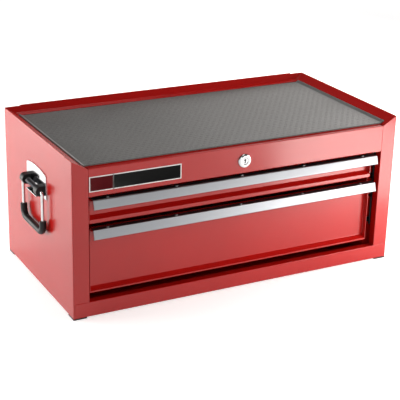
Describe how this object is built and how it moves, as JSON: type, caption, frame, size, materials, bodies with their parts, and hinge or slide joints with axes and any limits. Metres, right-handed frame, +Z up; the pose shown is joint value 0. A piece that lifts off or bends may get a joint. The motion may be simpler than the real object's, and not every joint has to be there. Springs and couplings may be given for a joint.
{
  "type": "portable tool box with drawers",
  "caption": "Portable steel tool box with drawers on ball-bearing slides, an open top tray with a rubber mat, a cylinder lock and a folding handle on each side.",
  "frame": {"origin": "centre of the footprint, on the floor under the corner pads", "axes": "+X to the right seen from the front, along the width; +Y from the front to the back, drawers open towards -Y; +Z up"},
  "size_m": [0.713, 0.35, 0.302],
  "materials": {
    "red_paint": "glossy red powder-coated sheet steel",
    "mat_rubber": "grey ribbed rubber mat",
    "pad_plastic": "black corner pads",
    "chrome": "polished chrome plate",
    "zinc_steel": "bright zinc-plated steel",
    "black_steel": "black zinc-plated steel, lightly greased",
    "pull_aluminium": "satin anodised aluminium extrusion",
    "rivet_aluminium": "plain aluminium rivets",
    "cage_steel": "plain strip steel, lightly oiled",
    "ball_steel": "polished bearing steel",
    "block_plastic": "black moulded plastic",
    "spring_steel": "blackened spring steel",
    "grip_rubber": "black moulded grip"
  },
  "bodies": {
    "case": {"left_side_panel": "red_paint", "right_side_panel": "red_paint", "back_panel": "red_paint", "bottom_panel": "red_paint", "top_tray": "red_paint", "top_rail": "red_paint", "bottom_rail": "red_paint", "rubber_mat": "mat_rubber", "corner_pads": "pad_plastic", "front_left_upright": "red_paint", "rear_left_upright": "red_paint", "front_right_upright": "red_paint", "rear_right_upright": "red_paint", "lock_housing": "chrome", "lock_nut": "zinc_steel", "lock_bar_guides": "black_steel", "drawer_1_left_slide_outer": "black_steel", "drawer_1_right_slide_outer": "black_steel", "drawer_2_left_slide_outer": "black_steel", "drawer_2_right_slide_outer": "black_steel", "left_handle_plate": "chrome", "left_pivot_blocks": "block_plastic", "left_handle_spring": "spring_steel", "left_handle_screws": "zinc_steel", "right_handle_plate": "chrome", "right_pivot_blocks": "block_plastic", "right_handle_spring": "spring_steel", "right_handle_screws": "zinc_steel"},
    "lock_plug": {"lock_plug": "chrome", "lock_cam": "zinc_steel", "lock_cam_screw": "zinc_steel"},
    "lock_bar": {"lock_bar": "black_steel"},
    "drawer_1": {"drawer_1_tray": "red_paint", "drawer_1_front": "red_paint", "drawer_1_pull": "pull_aluminium", "drawer_1_pull_rivets": "rivet_aluminium", "drawer_1_left_slide_inner": "black_steel", "drawer_1_right_slide_inner": "black_steel"},
    "drawer_1_middles": {"drawer_1_left_slide_middle": "black_steel", "drawer_1_right_slide_middle": "black_steel"},
    "drawer_1_outer_cages": {"drawer_1_outer_ball_cages": "cage_steel", "drawer_1_outer_balls": "ball_steel"},
    "drawer_1_inner_cages": {"drawer_1_inner_ball_cages": "cage_steel", "drawer_1_inner_balls": "ball_steel"},
    "drawer_2": {"drawer_2_tray": "red_paint", "drawer_2_front": "red_paint", "drawer_2_pull": "pull_aluminium", "drawer_2_pull_rivets": "rivet_aluminium", "drawer_2_left_slide_inner": "black_steel", "drawer_2_right_slide_inner": "black_steel"},
    "drawer_2_middles": {"drawer_2_left_slide_middle": "black_steel", "drawer_2_right_slide_middle": "black_steel"},
    "drawer_2_outer_cages": {"drawer_2_outer_ball_cages": "cage_steel", "drawer_2_outer_balls": "ball_steel"},
    "drawer_2_inner_cages": {"drawer_2_inner_ball_cages": "cage_steel", "drawer_2_inner_balls": "ball_steel"},
    "left_bail": {"left_bail": "chrome", "left_grip": "grip_rubber"},
    "right_bail": {"right_bail": "chrome", "right_grip": "grip_rubber"}
  },
  "joints": [
    {"name": "drawer_1_travel", "type": "slide", "parent": "case", "child": "drawer_1", "axis": [0, -1, 0], "range_m": [0, 0.27]},
    {"name": "drawer_1_middles_travel", "type": "slide", "parent": "case", "child": "drawer_1_middles", "axis": [0, -1, 0], "range_m": [0, 0.135]},
    {"name": "drawer_1_outer_cages_travel", "type": "slide", "parent": "case", "child": "drawer_1_outer_cages", "axis": [0, -1, 0], "range_m": [0, 0.0675]},
    {"name": "drawer_1_inner_cages_travel", "type": "slide", "parent": "case", "child": "drawer_1_inner_cages", "axis": [0, -1, 0], "range_m": [0, 0.2025]},
    {"name": "drawer_2_travel", "type": "slide", "parent": "case", "child": "drawer_2", "axis": [0, -1, 0], "range_m": [0, 0.27]},
    {"name": "drawer_2_middles_travel", "type": "slide", "parent": "case", "child": "drawer_2_middles", "axis": [0, -1, 0], "range_m": [0, 0.135]},
    {"name": "drawer_2_outer_cages_travel", "type": "slide", "parent": "case", "child": "drawer_2_outer_cages", "axis": [0, -1, 0], "range_m": [0, 0.0675]},
    {"name": "drawer_2_inner_cages_travel", "type": "slide", "parent": "case", "child": "drawer_2_inner_cages", "axis": [0, -1, 0], "range_m": [0, 0.2025]},
    {"name": "lock_bar_lift", "type": "slide", "parent": "case", "child": "lock_bar", "axis": [0, 0, 1], "range_m": [0, 0.01697]},
    {"name": "lock_turn", "type": "hinge", "parent": "case", "child": "lock_plug", "pos_m": [0, -0.17, 0.255], "axis": [0, 1, 0], "range_deg": [0, 90]},
    {"name": "left_bail_swing", "type": "hinge", "parent": "case", "child": "left_bail", "pos_m": [-0.347, 0.002, 0.203], "axis": [0, 1, 0], "range_deg": [0, 90]},
    {"name": "right_bail_swing", "type": "hinge", "parent": "case", "child": "right_bail", "pos_m": [0.347, 0.002, 0.203], "axis": [0, -1, 0], "range_deg": [0, 90]}
  ],
  "couplings": [
    {"joint": "drawer_1_middles_travel", "follows": "drawer_1_travel", "ratio": 0.5},
    {"joint": "drawer_1_outer_cages_travel", "follows": "drawer_1_travel", "ratio": 0.25},
    {"joint": "drawer_1_inner_cages_travel", "follows": "drawer_1_travel", "ratio": 0.75},
    {"joint": "drawer_2_middles_travel", "follows": "drawer_2_travel", "ratio": 0.5},
    {"joint": "drawer_2_outer_cages_travel", "follows": "drawer_2_travel", "ratio": 0.25},
    {"joint": "drawer_2_inner_cages_travel", "follows": "drawer_2_travel", "ratio": 0.75},
    {"joint": "lock_turn", "follows": "lock_bar_lift", "rad_per_m": 92.56}
  ]
}
